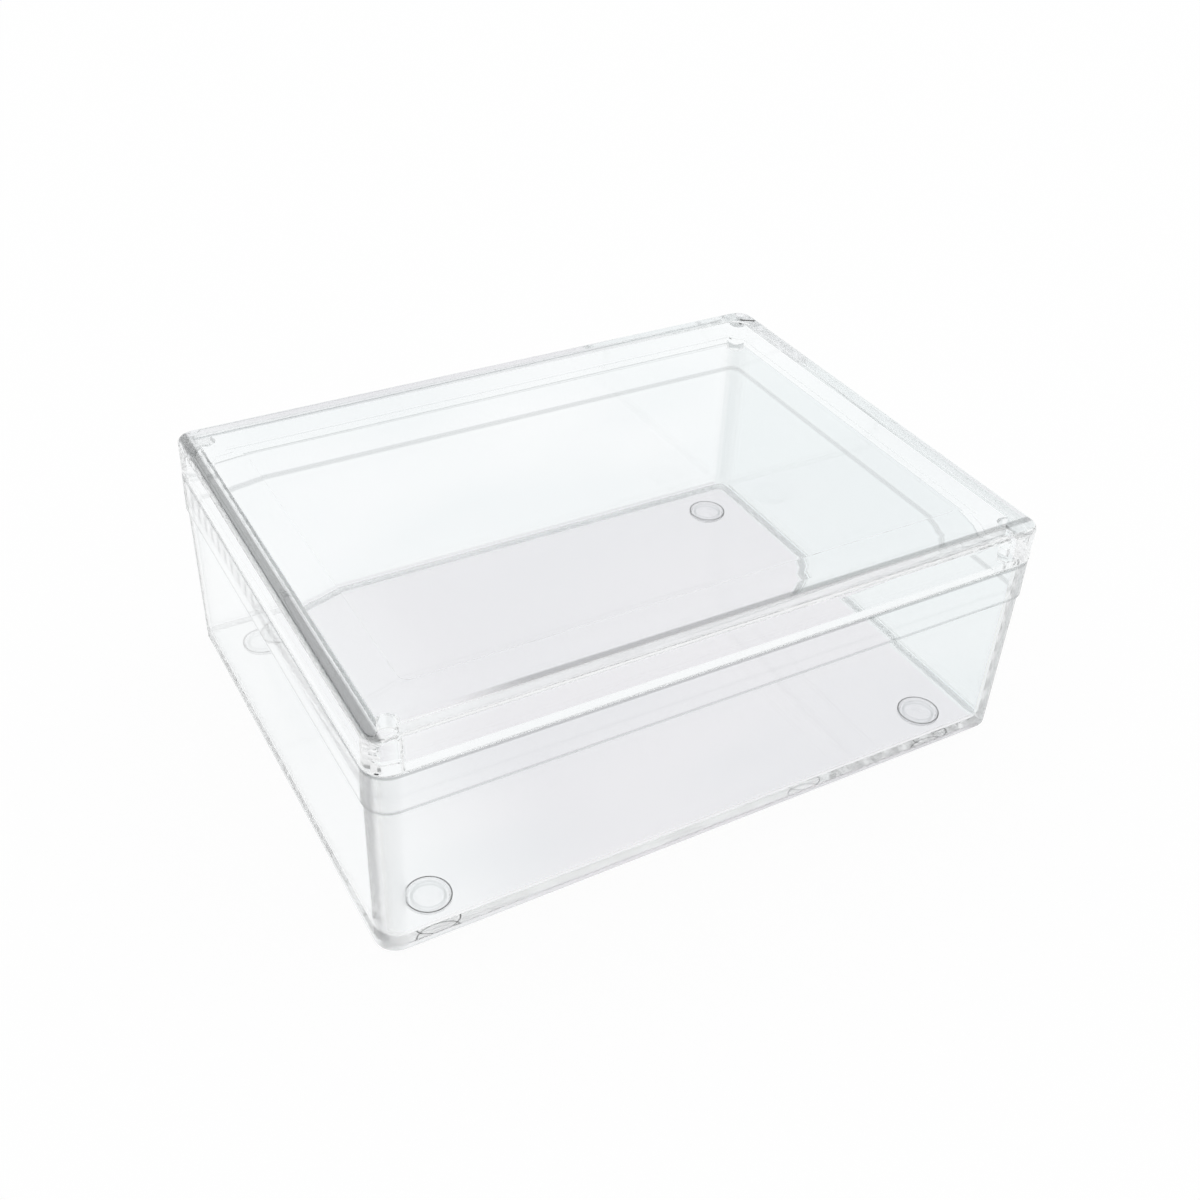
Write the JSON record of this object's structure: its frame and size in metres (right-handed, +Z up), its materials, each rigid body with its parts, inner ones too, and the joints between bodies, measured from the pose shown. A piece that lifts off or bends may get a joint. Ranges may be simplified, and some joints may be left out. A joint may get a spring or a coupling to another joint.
{
  "type": "acrylic storage box with lid",
  "caption": "Clear rectangular storage box: an open tub with a shallow collar, a flat lift-off lid that lies on the collar, and round clear pads under the floor.",
  "frame": {"origin": "on the ground, in the middle under the box", "axes": "+X along the long front side, +Y from the front to the back, +Z up out of the lid"},
  "size_m": [0.16, 0.1204, 0.0585],
  "materials": {
    "clear_tub": "clear and polished",
    "clear_lid": "clear and polished",
    "clear_pad": "clear, slightly cloudy"
  },
  "bodies": {
    "base": {"base_tub": "clear_tub", "foot_front_left": "clear_pad", "foot_front_right": "clear_pad", "foot_back_left": "clear_pad", "foot_back_right": "clear_pad"},
    "lid": {"lid": "clear_lid"}
  },
  "joints": [
    {"name": "lid_lift", "type": "slide", "parent": "base", "child": "lid", "axis": [0, 0, 1], "range_m": [0, 0.12]}
  ]
}
